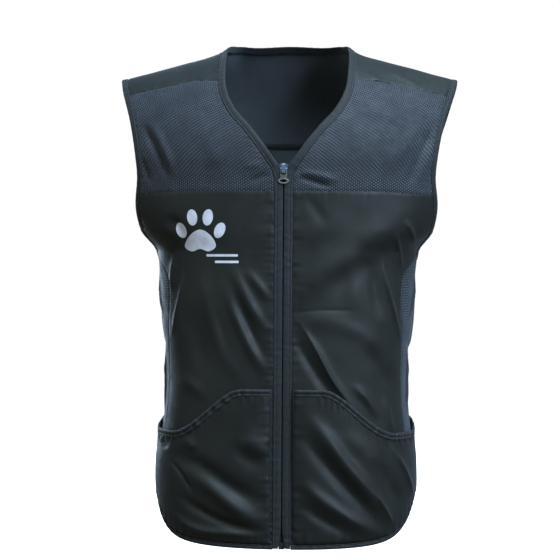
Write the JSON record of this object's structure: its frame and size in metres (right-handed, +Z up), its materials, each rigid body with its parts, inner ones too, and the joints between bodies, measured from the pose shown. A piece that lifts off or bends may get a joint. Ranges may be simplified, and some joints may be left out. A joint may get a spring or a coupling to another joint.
{
  "type": "training vest",
  "caption": "Sleeveless zip-front vest with mesh yokes and side panels, bound edges, two patch pockets and a slider with a ring puller.",
  "frame": {"origin": "midway between the two places where the shoulder seams rest on the wearer, on the centre plane, in the open neck", "axes": "+Z up towards the head, +X towards the wearer's left, -Y out of the zip front"},
  "size_m": [0.4364, 0.2401, 0.644],
  "materials": {
    "softshell": "smooth stretch softshell",
    "yoke_softshell": "smooth stretch softshell",
    "mesh": "perforated polyester mesh",
    "binding": "knitted edge binding",
    "facing": "folded facing strip",
    "zip_tape": "woven tape",
    "zip_nylon": "nylon",
    "pewter": "satin pewter plate",
    "slider_metal": "blue grey lacquer",
    "reflective_film": "silver heat-applied film"
  },
  "bodies": {
    "vest": {"front_yoke_mesh_left": "mesh", "front_yoke_mesh_right": "mesh", "front_panel_left": "softshell", "front_panel_right": "softshell", "side_mesh_panel_left": "mesh", "side_mesh_panel_right": "mesh", "back_panel": "softshell", "back_yoke": "yoke_softshell", "armhole_binding_left": "binding", "armhole_binding_right": "binding", "neck_binding": "binding", "hem_binding": "binding", "pocket_left": "softshell", "pocket_right": "softshell", "pocket_binding_left": "binding", "pocket_binding_right": "binding", "front_facing_left": "facing", "front_facing_right": "facing", "zip_tape_left": "zip_tape", "zip_tape_right": "zip_tape", "zip_coil_left": "zip_nylon", "zip_coil_right": "zip_nylon", "zip_top_stop_left": "pewter", "zip_top_stop_right": "pewter", "zip_box_pin": "pewter", "zip_insertion_pin": "pewter", "zip_retainer_box": "zip_nylon", "emblem_pad": "reflective_film", "emblem_toe_1": "reflective_film", "emblem_toe_2": "reflective_film", "emblem_toe_3": "reflective_film", "emblem_toe_4": "reflective_film", "emblem_rule_1": "reflective_film", "emblem_rule_2": "reflective_film"},
    "slider": {"slider_body": "slider_metal", "slider_cap": "slider_metal", "lock_spring": "pewter"},
    "puller": {"puller": "pewter"}
  },
  "joints": [
    {"name": "slider_travel", "type": "slide", "parent": "vest", "child": "slider", "axis": [0, 0.0146, -0.9999], "range_m": [0, 0.455]},
    {"name": "puller_swing", "type": "hinge", "parent": "slider", "child": "puller", "pos_m": [0, -0.11986, -0.14073], "axis": [-1, 0, 0], "range_deg": [0, 165]}
  ]
}
